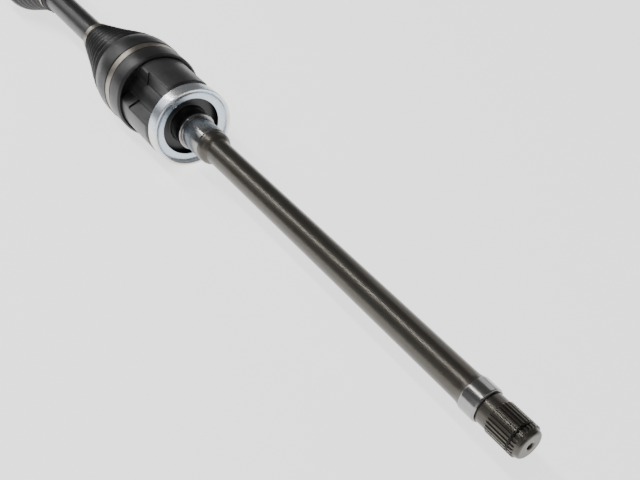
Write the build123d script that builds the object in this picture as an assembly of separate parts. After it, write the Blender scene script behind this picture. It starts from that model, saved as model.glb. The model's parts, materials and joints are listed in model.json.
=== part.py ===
from build123d import *
from math import cos, pi, sin, sqrt
import os

os.makedirs("parts", exist_ok=True)

# A passenger-side CV axle in millimetres.  X is the axis of rotation at rest, from the
# gearbox stub's end face at x = 0 towards the wheel.  Z is up.

# ---- driving dimensions ----
SHAFT_R = 12.75            # long stub shaft
TRIPOD_X = 550.0           # centre of the tripod joint at rest
JOINT_SPACING = 400.0      # tripod centre to ball joint centre
ROLLER_R = 16.5            # crowned outer roller of the tripod joint
LOBE_R = 43.3              # lobes of the tripod housing
BALL_R = 8.5               # ball of the outer joint
LOBE_TURN = 11.2           # first roller track leans this far from +Z towards -Y, degrees
PLUNGE = 20.0              # travel of the tripod each way
RUN = 0.05                 # radial running clearance of fitted pairs
SOFT_GAP = 0.3             # air between a soft solid and a piece of another body
EDGE = 0.8                 # broken outside edges of turned steel
SOFT_EDGE = 0.4            # broken edges of small steps
INSIDE = 1.5               # inside corners of forgings and pressings
BLEND = 20.0               # long blends between two bar diameters
SINK = 0.2                 # one piece of a body let into the next

# ---- gearbox stub ----
STUB_TEETH = 27
STUB_SPLINE_R = SHAFT_R + 0.75
STUB_ROOT_R = SHAFT_R - 0.25
STUB_SPLINE_START = 4.0
STUB_SPLINE_END = 29.5
STUB_TOOTH_LEAD = 1.5      # length over which the teeth rise
STUB_FACE_R = STUB_ROOT_R - 0.9
CENTRE_HOLE_R = 3.1
CENTRE_HOLE_MOUTH = 0.5    # the countersink's extra radius at the face
CENTRE_DRILL_R = 1.9
CENTRE_HOLE_DEPTH = 9.0
CLIP_X = 8.4               # stub circlip
CLIP_WIRE_R = 0.95
CLIP_GROOVE_R = SHAFT_R - 1.05
CLIP_GROOVE_HALF = 1.0
CLIP_SWEEP = 345           # degrees of wire
CLIP_GAP_TURN = 60
NECK_R = SHAFT_R - 0.05
RELIEF_X = 38.2            # undercut between neck and seal journal
RELIEF_W = 1.0
RELIEF_DEPTH = 0.7
SEAL_R = SHAFT_R + 1.75    # oil seal journal
SEAL_START = 39.9
SEAL_END = 53.6
SEAL_LEAD = 1.0
SEAL_CONE_END = 60.6
CONE_BLEND = 12.0
STUB_END = TRIPOD_X - 142  # weld face between stub shaft and housing forging

# ---- tripod housing ----
BEARING_R = SHAFT_R + 4.75 # support bearing seat
BULB_R = BEARING_R - 0.25  # shoulder that the bearing passes over
BULB_NOSE = 8.0            # rounding of that shoulder
BULB_FOOT = TRIPOD_X - 139
BULB_FOOT_BLEND = 2.5
BULB_FRONT = TRIPOD_X - 134
BULB_END = TRIPOD_X - 127
SEAT_STEP = TRIPOD_X - 98.6
SEAT_GROOVE = 0.8          # depth of the turned line in front of the seat
SEAT_GROOVE_W = 1.6
SEAT_UNDERCUT = 0.6
SEAT_UNDERCUT_W = 1.9
SHOULDER_R = BEARING_R + 2.5
SHOULDER_START = TRIPOD_X - 95.8
BOSS_FRONT = TRIPOD_X - 77
BOSS_R = LOBE_R - 2.2
BOSS_END = TRIPOD_X - 73
VALLEY_R = LOBE_R - 10.3   # housing between its lobes
LOBE_HALF_FRONT = 22.1     # half width of a lobe, ahead of the step in its flank and behind it
LOBE_HALF_REAR = 23.6
LOBE_CORNER = 2.0          # rounding of the lobes' long edges
VALLEY_CORNER = 3.0        # rounding where a lobe meets the valley
FLANK_STEP_X = TRIPOD_X - 29
LOBE_NOSE_R = LOBE_R - 4.7
LOBE_NOSE_X = TRIPOD_X - 76
LOBE_FULL_X = TRIPOD_X - 65
LOBE_NOSE_BLEND = 7.0
MOUTH_X = TRIPOD_X + PLUNGE + 22
CAVITY_X = TRIPOD_X - PLUNGE - 26
CAVITY_FLOOR = 3.0
CAVITY_R = 22.0
FLARE_R = 30.0
FLARE_L = 30.0

# ---- rollers and spider, from the outside in ----
TRACK_RADIUS = 26.0        # distance of a roller's centre from the axis
ROLLER_HALF_H = 6.0
ROLLER_WALL = 3.06
ROLLER_BORE_R = ROLLER_R - ROLLER_WALL
NEEDLE_R = 0.9
NEEDLE_HALF_L = 4.3
NEEDLE_SPARE = 0.04        # needle diameter against the gap it runs in
NEEDLE_SPACE = 0.38        # least air between two needles
RING_R = ROLLER_BORE_R - 2 * NEEDLE_R - NEEDLE_SPARE
RING_HALF_H = 5.2
RING_WALL = 1.6
RING_BORE_R = RING_R - RING_WALL
NEEDLE_CIRCLE_R = (RING_R + ROLLER_BORE_R) / 2
NEEDLE_COUNT = int(2 * pi * NEEDLE_CIRCLE_R / (2 * NEEDLE_R + NEEDLE_SPACE))
CLIP_PLATE_T = 0.8         # flat clips that close a roller
CLIP_PLATE_IN = 4.6
CLIP_PLATE_R_IN = RING_R + 0.35
CLIP_PLATE_R_OUT = ROLLER_BORE_R + 0.66
TRACK_SPARE = 0.3          # roller to track side, across the flats of the slot
CROWN_SPARE = 0.02         # groove of the track, past the running clearance
CROWN_SIDE = 0.25          # groove of the track, above and below the roller
SLOT_TOP = 34.0
TRUNNION_SPARE = 0.5       # room for the spider to wander sideways
TRUNNION_BALL_R = RING_BORE_R - TRUNNION_SPARE
TRUNNION_NECK_R = TRUNNION_BALL_R - 2.5
TRUNNION_TOP = 32.5
HUB_R = 17.5
HUB_HALF_L = 11.0
HUB_CHAMFER = 1.2

# ---- bar ----
BAR_R = 15.0
BAR_NECK_R = 10.8
BAR_SPLINE_R = 11.6
BAR_END = 14.0             # bar end past the tripod centre
BAR_TAPER_START = 70.0
BAR_TAPER_END = 90.0
BAR_TIP = 17.0             # bar end past the ball joint centre
OUTER_TAPER_START = 72.0
OUTER_TAPER_END = 54.0
SPLINE_PAST = 6.0          # spline beyond the piece it carries
SPLINE_RUNOUT = 3.0
BAR_CLIP_T = 1.6
BAR_CLIP_GROOVE = 1.4
BAR_CLIP_PROUD = 1.9
BAR_CLIP_GAP = 3.0

# ---- ball joint, by distances from its own centre ----
BALL_COUNT = 6
BALL_CIRCLE_R = 28.0
TRACK_ROOM = 0.95          # ball groove, wide enough for the ball to leave its meridian
TRACK_R = BALL_R + TRACK_ROOM
RACE_R = 25.2
RACE_HALF_L = 14.0
RACE_REACH = 65            # degrees of groove each way
CAGE_IN_R = RACE_R + RUN
CAGE_OUT_R = 31.0
CAGE_HALF_L = 13.0
WINDOW_HALF_W = BALL_R + 1.1
BELL_REACH = 42
BELL_R = 43.0
BELL_MOUTH = -22.0
BELL_FLARE_X = -10.0
BELL_FLARE_R = 34.4
BOOT_SEAT_R = 41.0
BOOT_SEAT_END = -5.0
TONE_SEAT_R = 39.0
TONE_SEAT_START = 14.0
TONE_SEAT_END = 27.0
TONE_SEAT_BLEND = 4.0
BELL_BACK_R = 29.0
BELL_BACK_X = 38.0
BELL_BACK_BLEND = 5.0
BELL_FACE_X = 42.0
PILOT_R = 15.5
HUB_SPLINE_R = 14.0
HUB_ROOT_R = 12.9
HUB_TEETH = 28
HUB_SPLINE_START = 47.0
HUB_SPLINE_END = 88.0
THREAD_R = 11.0
THREAD_DEPTH = 0.9
THREAD_PITCH = 1.5
THREAD_START = 91.0
THREAD_END = 116.0
NUT_START = 92.0
NUT_H = 17.0
NUT_FLATS = 32.0
NUT_DOME = 2.5
NUT_FLANGE_R = 20.0
NUT_FLANGE_T = 3.0
TONE_TEETH = 44
TONE_R = 46.5
TONE_ROOT_R = 43.9
TONE_START = 15.0
TONE_T = 8.0

# ---- dust ring ----
DUST_SHEET = 1.6
DUST_R = BOSS_R + DUST_SHEET
DUST_FRONT = TRIPOD_X - 88
DUST_END = TRIPOD_X - 74
DUST_OPENING_R = BOSS_R - 10.7
DUST_DISH = 3.8            # the flange lies this far behind the rim
DUST_RIM_W = 2.9
DUST_SLOPE_W = 2.5
DUST_ROLL = 1.4            # rounding of the rolled rim

# ---- boots and clamps ----
BOOT_WALL = 2.4
BOOT_LIP = 0.9
ADAPTER_R = LOBE_R + 1.1
ADAPTER_START = MOUTH_X - 47
COLLAR_R = ADAPTER_R + 2.9
COLLAR_LIP_X = MOUTH_X - 54
COLLAR_END = MOUTH_X + 4
BAND_START = MOUTH_X - 30.5
BAND_W = 9.0
BAND_T = 0.9
BAND_SINK = 0.7            # the band's seat lies this far below the collar
EAR_W = 6.0
EAR_H = 2.5
EAR_EDGE = 1.0
SMALL_BAND_W = 7.0
SMALL_COLLAR = 16.0
SMALL_COLLAR_R = BAR_R + SOFT_GAP + BOOT_WALL
SMALL_LIP = 0.6
INNER_BOOT_END = MOUTH_X + 114
FOLD_DEPTH = 3.6
FOLD_ROUND = 1.6
# crests of the folds: distance from the collar, share of the way down from collar to small end
INNER_FOLDS = [(20.0, 0.07), (32.0, 0.27), (45.0, 0.37), (58.0, 0.45), (71.0, 0.55), (84.0, 0.71)]
OUTER_FOLDS = [(11.0, 0.06), (23.0, 0.20), (35.0, 0.35), (47.0, 0.51), (59.0, 0.66)]
OUTER_COLLAR_R = BOOT_SEAT_R + 2.6
OUTER_BOOT_END = -108.0

BALL_X = TRIPOD_X + JOINT_SPACING


def turned(points):
    """A solid of revolution about X from (x, radius) corners, each with an optional rounding radius."""
    corners = [(p[0], p[1], 0) for p in points]
    rounding = [p[2] if len(p) > 2 else 0 for p in points]
    return revolve(make_face(FilletPolyline(*corners, radius=rounding, close=True)), Axis.X)


def ring(x0, x1, r_in, r_out):
    """A plain ring about X."""
    return turned([(x0, r_in), (x1, r_in), (x1, r_out), (x0, r_out)])


def about_x(shape, angle):
    return Rot(angle, 0, 0) * shape


def splined(x0, x1, root, tip, teeth):
    """Straight-sided teeth on a core, as one solid along X."""
    pitch = 2 * pi / teeth
    foot = 0.30            # half widths of a tooth at root and tip, as shares of the pitch
    land = 0.14
    outline = []
    for i in range(teeth):
        for share, r in ((-foot, root), (-land, tip), (land, tip), (foot, root)):
            a = (i + share) * pitch
            outline.append((0, r * cos(a), r * sin(a)))
    return Pos(x0, 0, 0) * extrude(make_face(Polyline(*outline, close=True)), x1 - x0, dir=(1, 0, 0))


def save(shape, name):
    shape.label = name
    export_step(shape, f"parts/{name}.step")


# ---------------------------------------------------------------- gearbox stub shaft
def toothed(x0, x1, root, tip, teeth):
    """A spline whose teeth rise at x0 and run out at x1."""
    envelope = turned([
        (x0 - STUB_TOOTH_LEAD, 0), (x0 - STUB_TOOTH_LEAD, root), (x0, tip), (x1 - STUB_TOOTH_LEAD, tip),
        (x1, root), (x1, 0),
    ])
    return splined(x0 - STUB_TOOTH_LEAD, x1, root - SINK, tip, teeth) & envelope


def stub_shaft():
    front = RELIEF_X - RELIEF_W / 2
    back = RELIEF_X + RELIEF_W / 2
    core = turned([
        (0, 0), (0, STUB_FACE_R, EDGE), (STUB_SPLINE_START, STUB_ROOT_R, INSIDE),
        (STUB_SPLINE_END, STUB_ROOT_R),
        (STUB_SPLINE_END + STUB_TOOTH_LEAD, NECK_R, SOFT_EDGE), (front, NECK_R, SINK),
        (front, NECK_R - RELIEF_DEPTH), (back, NECK_R - RELIEF_DEPTH), (back, SEAL_R - SEAL_LEAD, SINK),
        (SEAL_START, SEAL_R), (SEAL_END, SEAL_R, INSIDE), (SEAL_CONE_END, SHAFT_R, CONE_BLEND),
        (STUB_END, SHAFT_R), (STUB_END, 0),
    ])
    teeth = toothed(STUB_SPLINE_START + EDGE, STUB_SPLINE_END + EDGE, STUB_ROOT_R, STUB_SPLINE_R,
        STUB_TEETH)
    mouth = CENTRE_HOLE_R + CENTRE_HOLE_MOUTH
    hole = turned([
        (-1, 0), (-1, mouth + 1), (0, mouth), (mouth - CENTRE_DRILL_R, CENTRE_DRILL_R),
        (CENTRE_HOLE_DEPTH, CENTRE_DRILL_R), (CENTRE_HOLE_DEPTH + 1, 0),
    ])
    groove = ring(CLIP_X - CLIP_GROOVE_HALF, CLIP_X + CLIP_GROOVE_HALF, CLIP_GROOVE_R, STUB_SPLINE_R + 1)
    return core + teeth - hole - groove


def stub_circlip():
    """A round-wire ring, open over a narrow gap, loose in its groove."""
    wire_circle = CLIP_GROOVE_R + CLIP_WIRE_R + NEEDLE_SPARE / 2
    section = Plane.XZ * Pos(CLIP_X, wire_circle) * Circle(CLIP_WIRE_R)
    return about_x(revolve(section, Axis.X, CLIP_SWEEP), CLIP_GAP_TURN)


# ---------------------------------------------------------------- tripod housing
def lobed(x0, x1, half_width, r_out):
    """A length of the three-lobed outside: a valley circle with a lobe over each roller track."""
    lobe = Pos(0, r_out / 2) * Rectangle(2 * half_width, r_out) & Circle(r_out)
    section = Circle(VALLEY_R)
    for i in range(3):
        section += Rot(0, 0, 120 * i + LOBE_TURN) * lobe
    tops = section.vertices().filter_by(lambda v: v.center().length > (VALLEY_R + r_out) / 2)
    section = fillet(tops, LOBE_CORNER)
    feet = section.vertices().filter_by(lambda v: v.center().length < VALLEY_R + 0.01)
    section = fillet(feet, VALLEY_CORNER)
    return extrude(Plane.YZ.offset(x0) * section, x1 - x0)


def three(shape):
    out = []
    for i in range(3):
        out.append(about_x(shape, 120 * i + LOBE_TURN))
    return out


def x_cylinder(x0, x1, r):
    return Pos((x0 + x1) / 2, 0, 0) * Rot(0, 90, 0) * Cylinder(r, x1 - x0)


def housing_outside():
    front = lobed(LOBE_NOSE_X, FLANK_STEP_X, LOBE_HALF_FRONT, LOBE_R)
    rear = lobed(FLANK_STEP_X, MOUTH_X, LOBE_HALF_REAR, LOBE_R)
    nose = turned([
        (LOBE_NOSE_X, 0), (LOBE_NOSE_X, LOBE_NOSE_R), (LOBE_FULL_X, LOBE_R + INSIDE, LOBE_NOSE_BLEND),
        (FLANK_STEP_X + 1, LOBE_R + INSIDE), (FLANK_STEP_X + 1, 0),
    ])
    return (front & nose) + rear + x_cylinder(BOSS_FRONT + 1, LOBE_NOSE_X + 1, VALLEY_R)


def track_slot():
    """The slot of one roller on +Z: flat guide walls with a round groove for the roller's crown."""
    half = sqrt(ROLLER_R ** 2 - ROLLER_HALF_H ** 2) + TRACK_SPARE
    length = MOUTH_X - CAVITY_X + 1
    middle = CAVITY_X + length / 2
    flat = Pos(middle, 0, SLOT_TOP / 2) * Box(length, 2 * half, SLOT_TOP)
    crown = Pos(middle, 0, TRACK_RADIUS) * Rot(0, 90, 0) * Cylinder(ROLLER_R + RUN + CROWN_SPARE, length)
    band = Pos(middle, 0, TRACK_RADIUS) * Box(length, 3 * ROLLER_R, 2 * (ROLLER_HALF_H + CROWN_SIDE))
    return flat + (crown & band)


def tripod_housing():
    groove_end = BULB_END + SEAT_GROOVE_W
    undercut_end = SEAT_STEP + SEAT_UNDERCUT_W
    shank = turned([
        (STUB_END, 0), (STUB_END, SHAFT_R), (BULB_FOOT, SHAFT_R, BULB_FOOT_BLEND),
        (BULB_FRONT, BULB_R, BULB_NOSE),
        (BULB_END - SEAT_GROOVE, BULB_R, SOFT_EDGE), (BULB_END, BULB_R - SEAT_GROOVE),
        (groove_end - SEAT_GROOVE, BULB_R - SEAT_GROOVE), (groove_end, BEARING_R),
        (SEAT_STEP - SEAT_UNDERCUT, BEARING_R), (SEAT_STEP, BEARING_R - SEAT_UNDERCUT),
        (undercut_end, BEARING_R - SEAT_UNDERCUT, SOFT_EDGE), (undercut_end, SHOULDER_R - EDGE),
        (SHOULDER_START, SHOULDER_R), (BOSS_FRONT, SHOULDER_R, INSIDE), (BOSS_FRONT, BOSS_R, EDGE),
        (BOSS_END, BOSS_R), (BOSS_END, 0),
    ])
    cavity = turned([
        (CAVITY_X - CAVITY_FLOOR, 0), (CAVITY_X, CAVITY_R), (MOUTH_X - FLARE_L, CAVITY_R),
        (MOUTH_X, FLARE_R),
        (MOUTH_X + 1, FLARE_R), (MOUTH_X + 1, 0),
    ])
    body = shank + housing_outside() - cavity
    for slot in three(track_slot()):
        body -= slot
    return body


def dust_ring():
    """Pressed sheet cup: a skirt over the boss, a rolled rim and a dished flange with a wide opening."""
    flange = DUST_FRONT + DUST_DISH
    rim = DUST_R - DUST_RIM_W
    dish = rim - DUST_SLOPE_W
    return turned([
        (DUST_END, BOSS_R), (DUST_END, DUST_R, SOFT_EDGE), (DUST_FRONT, DUST_R, DUST_ROLL),
        (DUST_FRONT, rim, EDGE), (flange, dish, INSIDE), (flange, DUST_OPENING_R, SOFT_EDGE),
        (flange + DUST_SHEET, DUST_OPENING_R, SOFT_EDGE),
        (flange + DUST_SHEET, dish + DUST_SHEET / 3, EDGE),
        (DUST_FRONT + DUST_SHEET, rim + DUST_SHEET / 3, SOFT_EDGE),
        (DUST_FRONT + DUST_SHEET, BOSS_R, SOFT_EDGE),
    ])


def boot_adapter():
    """Rubber-like insert that turns the lobed outside of the housing into a round seat."""
    return x_cylinder(ADAPTER_START, MOUTH_X, ADAPTER_R) - housing_outside()


# ---------------------------------------------------------------- rollers and spider
def outer_roller():
    crown = Pos(0, 0, TRACK_RADIUS) * Sphere(ROLLER_R)
    band = Pos(0, 0, TRACK_RADIUS) * Box(3 * ROLLER_R, 3 * ROLLER_R, 2 * ROLLER_HALF_H)
    bore = Pos(0, 0, TRACK_RADIUS) * Cylinder(ROLLER_BORE_R, 3 * ROLLER_HALF_H)
    roller = (crown & band) - bore
    for side in (-1, 1):
        z = TRACK_RADIUS + side * (CLIP_PLATE_IN + CLIP_PLATE_T / 2)
        roller -= Pos(0, 0, z) * Cylinder(CLIP_PLATE_R_OUT, CLIP_PLATE_T)
    return roller


def roller_clips():
    clips = []
    for side in (-1, 1):
        z = TRACK_RADIUS + side * (CLIP_PLATE_IN + CLIP_PLATE_T / 2)
        plate = Pos(0, 0, z) * Cylinder(CLIP_PLATE_R_OUT, CLIP_PLATE_T)
        clips.append(plate - Pos(0, 0, z) * Cylinder(CLIP_PLATE_R_IN, 2 * CLIP_PLATE_T))
    return Compound(children=clips)


def needles():
    pins = []
    for i in range(NEEDLE_COUNT):
        a = 2 * pi * i / NEEDLE_COUNT
        place = Pos(NEEDLE_CIRCLE_R * cos(a), NEEDLE_CIRCLE_R * sin(a), TRACK_RADIUS)
        pins.append(place * Cylinder(NEEDLE_R, 2 * NEEDLE_HALF_L))
    return Compound(children=pins)


def inner_ring():
    ring_body = Pos(0, 0, TRACK_RADIUS) * Cylinder(RING_R, 2 * RING_HALF_H)
    return ring_body - Pos(0, 0, TRACK_RADIUS) * Cylinder(RING_BORE_R, 3 * RING_HALF_H)


def tripod_spider():
    hub = x_cylinder(-HUB_HALF_L, HUB_HALF_L, HUB_R)
    hub = chamfer(hub.edges().filter_by(GeomType.CIRCLE), HUB_CHAMFER)
    trunnion = Pos(0, 0, TRACK_RADIUS) * Sphere(TRUNNION_BALL_R)
    trunnion &= Pos(0, 0, TRUNNION_TOP / 2) * Box(3 * ROLLER_R, 3 * ROLLER_R, TRUNNION_TOP)
    trunnion += Pos(0, 0, TRACK_RADIUS / 2) * Cylinder(TRUNNION_NECK_R, TRACK_RADIUS)
    arms = three(trunnion)
    spider = hub + arms[0] + arms[1] + arms[2]
    return spider - x_cylinder(-2 * HUB_HALF_L, 2 * HUB_HALF_L, BAR_SPLINE_R)


# ---------------------------------------------------------------- bar
def clip_places():
    """Where the flat clips that hold spider and race sit on the bar, by their lower x."""
    return {
        "spider": [TRIPOD_X - HUB_HALF_L - BAR_CLIP_T, TRIPOD_X + HUB_HALF_L],
        "race": [BALL_X - RACE_HALF_L - BAR_CLIP_T, BALL_X + RACE_HALF_L],
    }


def bar_clips(which):
    clips = []
    for x in clip_places()[which]:
        r_in = BAR_SPLINE_R - BAR_CLIP_GROOVE
        r_out = BAR_SPLINE_R + BAR_CLIP_PROUD
        slit = Pos(x + BAR_CLIP_T / 2, 0, -r_out) * Box(2 * BAR_CLIP_T, BAR_CLIP_GAP, 2 * r_out)
        clips.append(ring(x, x + BAR_CLIP_T, r_in, r_out) - slit)
    return Compound(children=clips)


def axle_bar():
    x0 = TRIPOD_X - BAR_END
    x1 = BALL_X + BAR_TIP
    spline_in = TRIPOD_X + HUB_HALF_L + SPLINE_PAST
    spline_out = BALL_X - RACE_HALF_L - SPLINE_PAST
    bar = turned([
        (x0, 0), (x0, BAR_SPLINE_R, EDGE), (spline_in, BAR_SPLINE_R),
        (spline_in + SPLINE_RUNOUT, BAR_NECK_R, SPLINE_RUNOUT),
        (TRIPOD_X + BAR_TAPER_START, BAR_NECK_R, BLEND),
        (TRIPOD_X + BAR_TAPER_END, BAR_R, BLEND), (BALL_X - OUTER_TAPER_START, BAR_R, BLEND),
        (BALL_X - OUTER_TAPER_END, BAR_NECK_R, BLEND),
        (spline_out - SPLINE_RUNOUT, BAR_NECK_R, SPLINE_RUNOUT),
        (spline_out, BAR_SPLINE_R), (x1, BAR_SPLINE_R, EDGE), (x1, 0),
    ])
    for places in clip_places().values():
        for x in places:
            bar -= ring(x, x + BAR_CLIP_T, BAR_SPLINE_R - BAR_CLIP_GROOVE, BAR_SPLINE_R + 1)
    return bar


# ---------------------------------------------------------------- ball joint, about its own centre
def ball_groove(reach):
    """The groove that one ball on +Z sweeps, as far as reach degrees each way."""
    section = Plane.YZ * Pos(0, BALL_CIRCLE_R) * Circle(TRACK_R)
    groove = revolve(section, Axis.Y, 2 * reach)
    return Rot(0, -reach, 0) * groove


def ball_angles():
    return [360 / BALL_COUNT * i + LOBE_TURN for i in range(BALL_COUNT)]


def inner_race():
    race = Sphere(RACE_R) & x_cylinder(-RACE_HALF_L, RACE_HALF_L, 2 * RACE_R)
    race -= x_cylinder(-2 * RACE_HALF_L, 2 * RACE_HALF_L, BAR_SPLINE_R)
    groove = ball_groove(RACE_REACH)
    for a in ball_angles():
        race -= about_x(groove, a)
    return race


def ball_cage():
    cage = Sphere(CAGE_OUT_R) & x_cylinder(-CAGE_HALF_L, CAGE_HALF_L, 2 * CAGE_OUT_R)
    cage -= Sphere(CAGE_IN_R)
    window = Pos(0, 0, CAGE_OUT_R) * Box(2 * (BALL_R + RUN), 2 * WINDOW_HALF_W, CAGE_OUT_R)
    for a in ball_angles():
        cage -= about_x(window, a)
    return cage


def hub_thread():
    """Plain ridges in place of a lead."""
    root = THREAD_R - THREAD_DEPTH
    ridges = []
    for i in range(int((THREAD_END - THREAD_START) / THREAD_PITCH)):
        x = THREAD_START + i * THREAD_PITCH
        ridges += [(x, root), (x + THREAD_PITCH / 2, THREAD_R)]
    return turned([(THREAD_START, 0)] + ridges + [(THREAD_END, root), (THREAD_END, 0)])


def outer_bell():
    root = THREAD_R - THREAD_DEPTH
    bell = turned([
        (BELL_MOUTH, 0), (BELL_MOUTH, BOOT_SEAT_R, EDGE), (BOOT_SEAT_END, BOOT_SEAT_R),
        (BOOT_SEAT_END + EDGE, BELL_R, SOFT_EDGE), (TONE_SEAT_START, BELL_R, EDGE),
        (TONE_SEAT_START, TONE_SEAT_R),
        (TONE_SEAT_END, TONE_SEAT_R, TONE_SEAT_BLEND),
        (BELL_BACK_X - BELL_BACK_BLEND / 2, BELL_BACK_R + INSIDE, BELL_BACK_BLEND),
        (BELL_BACK_X, BELL_BACK_R, EDGE), (BELL_FACE_X, BELL_BACK_R, EDGE),
        (BELL_FACE_X, PILOT_R, INSIDE),
        (HUB_SPLINE_START, PILOT_R, SOFT_EDGE), (HUB_SPLINE_START + INSIDE, HUB_ROOT_R),
        (HUB_SPLINE_END, HUB_ROOT_R), (HUB_SPLINE_END + INSIDE, root), (THREAD_END, root),
        (THREAD_END, 0),
    ])
    teeth = toothed(HUB_SPLINE_START + INSIDE, HUB_SPLINE_END, HUB_ROOT_R, HUB_SPLINE_R, HUB_TEETH)
    bell = bell + teeth + hub_thread()
    sphere_edge = sqrt((CAGE_OUT_R + RUN) ** 2 - BELL_FLARE_X ** 2)
    bell -= Sphere(CAGE_OUT_R + RUN) + turned([
        (BELL_FLARE_X, 0), (BELL_FLARE_X, sphere_edge), (BELL_MOUTH - 1, BELL_FLARE_R),
        (BELL_MOUTH - 1, 0),
    ])
    groove = ball_groove(BELL_REACH)
    for a in ball_angles():
        bell -= about_x(groove, a)
    return bell


def tone_ring():
    """Toothed wheel-speed ring pressed on the back of the bell."""
    blank = ring(TONE_START, TONE_START + TONE_T, TONE_SEAT_R, TONE_R)
    gap = Pos(TONE_START, 0, TONE_R) * Box(4 * TONE_T, pi * TONE_ROOT_R / TONE_TEETH,
        2 * (TONE_R - TONE_ROOT_R))
    return blank - [about_x(gap, 360 / TONE_TEETH * i) for i in range(TONE_TEETH)]


def axle_nut():
    half = NUT_FLATS / 2
    end = NUT_START + NUT_H
    hexagon = Plane.YZ.offset(NUT_START) * RegularPolygon(half, 6, major_radius=False)
    dome = turned([
        (NUT_START, 0), (NUT_START, half + NUT_DOME), (end - NUT_DOME, half + NUT_DOME),
        (end, half - SOFT_EDGE), (end, 0),
    ])
    flange = ring(NUT_START, NUT_START + NUT_FLANGE_T, THREAD_R + RUN, NUT_FLANGE_R)
    flange = chamfer(flange.edges().group_by(Axis.X)[-1].sort_by(SortBy.RADIUS)[-1], EDGE)
    return (extrude(hexagon, NUT_H) & dome) + flange - x_cylinder(NUT_START - 1, end + 1, THREAD_R + RUN)


# ---------------------------------------------------------------- boots and clamps
def folded(start, step, r_large, folds, lift):
    """Crests and roots of a row of boot folds, lifted off the middle of the wall, with their rounding."""
    crests = []
    for away, share in folds:
        crests.append((start + step * away, r_large + (SMALL_COLLAR_R - r_large) * share + lift))
    points = []
    for (x0, r0), (x1, r1) in zip(crests, crests[1:]):
        points.append((x0, r0, FOLD_ROUND))
        points.append(((x0 + x1) / 2, (r0 + r1) / 2 - FOLD_DEPTH, FOLD_ROUND))
    points.append(crests[-1] + (FOLD_ROUND,))
    return points


def inner_boot():
    seat = COLLAR_R - BAND_SINK
    end = BAND_START + BAND_W
    small = INNER_BOOT_END - SMALL_COLLAR
    outer = [
        (COLLAR_LIP_X, ADAPTER_R + BOOT_LIP), (COLLAR_LIP_X + BOOT_WALL, COLLAR_R, EDGE),
        (BAND_START - EDGE, COLLAR_R, SOFT_EDGE), (BAND_START, seat), (end, seat),
        (end + EDGE, COLLAR_R + EDGE, SOFT_EDGE), (COLLAR_END, COLLAR_R + EDGE, BOOT_WALL),
    ]
    outer += folded(COLLAR_END - BOOT_WALL, 1, COLLAR_R, INNER_FOLDS, 0)
    outer += [(small, SMALL_COLLAR_R + SMALL_LIP, EDGE), (INNER_BOOT_END, SMALL_COLLAR_R, EDGE)]
    inner = [(INNER_BOOT_END, SMALL_COLLAR_R - BOOT_WALL), (small, SMALL_COLLAR_R - BOOT_WALL)]
    inner += folded(COLLAR_END - BOOT_WALL, 1, COLLAR_R, INNER_FOLDS, -BOOT_WALL)[::-1]
    inner += [(COLLAR_END - BOOT_WALL, ADAPTER_R), (COLLAR_LIP_X, ADAPTER_R)]
    return turned(outer + inner)


def outer_boot():
    small = OUTER_BOOT_END + SMALL_COLLAR
    outer = [(BOOT_SEAT_END, BOOT_SEAT_R), (BOOT_SEAT_END, OUTER_COLLAR_R, EDGE),
        (BELL_MOUTH, OUTER_COLLAR_R, EDGE)]
    outer += folded(BELL_MOUTH, -1, OUTER_COLLAR_R, OUTER_FOLDS, 0)
    outer += [(small, SMALL_COLLAR_R + SMALL_LIP, EDGE), (OUTER_BOOT_END, SMALL_COLLAR_R, EDGE)]
    inner = [(OUTER_BOOT_END, SMALL_COLLAR_R - BOOT_WALL), (small, SMALL_COLLAR_R - BOOT_WALL)]
    inner += folded(BELL_MOUTH, -1, OUTER_COLLAR_R, OUTER_FOLDS, -BOOT_WALL)[::-1]
    inner += [(BELL_MOUTH, BOOT_SEAT_R)]
    return turned(outer + inner)


def band(x, width, r_in):
    """A flat clamp band with the raised ear of its closed fold."""
    strip = ring(x, x + width, r_in, r_in + BAND_T)
    top = r_in + BAND_T + EAR_H
    ear = Pos(x + width / 2, 0, top - EAR_H / 2 - SOFT_EDGE / 2) * Box(width - EDGE, EAR_W,
        EAR_H + SOFT_EDGE)
    ear = fillet(ear.edges().filter_by(Axis.X).group_by(Axis.Z)[-1], EAR_EDGE)
    return strip + about_x(ear, 180 + LOBE_TURN)


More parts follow.
